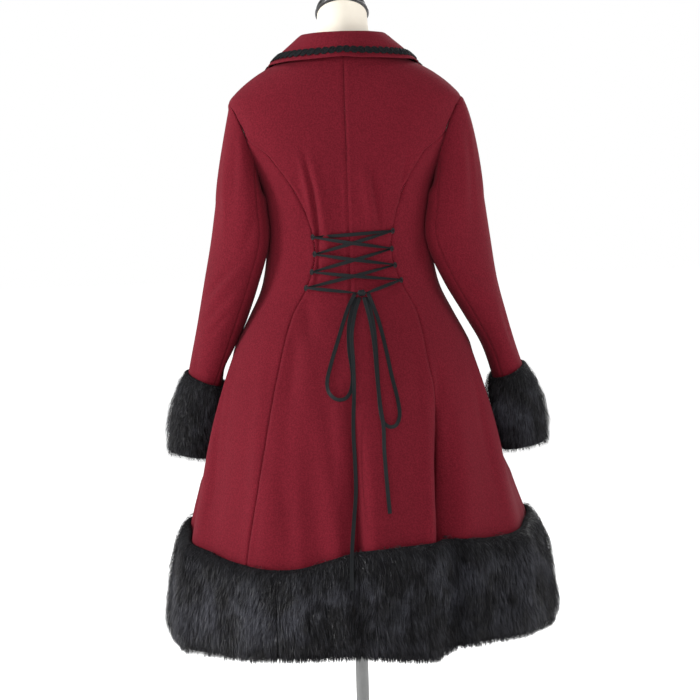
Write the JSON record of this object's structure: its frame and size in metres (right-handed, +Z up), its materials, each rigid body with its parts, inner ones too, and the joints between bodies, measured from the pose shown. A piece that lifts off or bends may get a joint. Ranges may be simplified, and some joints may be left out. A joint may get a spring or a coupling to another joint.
{
  "type": "fur-trimmed princess coat on a limbless dress form and stand",
  "caption": "Flared wool coat with fur hem and cuffs, laced back waist and fold-over collar, worn by a limbless dress form on a round-footed pole stand.",
  "frame": {"origin": "centre of the stand's round foot, on its underside", "axes": "+Z up, +Y towards the wearer's back, +X towards the wearer's left"},
  "size_m": [0.631, 0.6113, 1.4591],
  "materials": {
    "wool": "felted wool, matt with a soft nap",
    "fur": "long glossy pile",
    "ribbon": "satin",
    "braid": "woven scalloped braid",
    "button": "gloss",
    "form_cover": "smooth jersey",
    "neck_cap": "dark gloss",
    "stand_steel": "brushed"
  },
  "bodies": {
    "root": {"back_left": "wool", "back_right": "wool", "side_back_left": "wool", "side_back_right": "wool", "side_front_left": "wool", "side_front_right": "wool", "front_left": "wool", "front_right": "wool", "top_sleeve_left": "wool", "top_sleeve_right": "wool", "under_sleeve_left": "wool", "under_sleeve_right": "wool", "collar": "wool", "fur_cuff_left": "fur", "fur_cuff_right": "fur", "fur_hem_back": "fur", "fur_hem_left": "fur", "fur_hem_front": "fur", "fur_hem_right": "fur", "lacing_top_bar": "ribbon", "lacing_under_1": "ribbon", "lacing_over_1": "ribbon", "lacing_under_2": "ribbon", "lacing_over_2": "ribbon", "lacing_under_3": "ribbon", "lacing_over_3": "ribbon", "lacing_end_left": "ribbon", "lacing_end_right": "ribbon", "lacing_loop_left_1": "ribbon", "lacing_loop_left_2": "ribbon", "lacing_loop_left_3": "ribbon", "lacing_loop_left_4": "ribbon", "lacing_loop_right_1": "ribbon", "lacing_loop_right_2": "ribbon", "lacing_loop_right_3": "ribbon", "lacing_loop_right_4": "ribbon", "bow_knot": "ribbon", "bow_loop_left": "ribbon", "bow_loop_right": "ribbon", "ribbon_tail_left": "ribbon", "ribbon_tail_right": "ribbon", "collar_braid": "braid", "button_1": "button", "button_2": "button", "button_3": "button", "button_4": "button", "button_5": "button", "button_6": "button", "form_torso": "form_cover", "neck_cap": "neck_cap", "pole": "stand_steel", "stand_base": "stand_steel"}
  },
  "joints": []
}
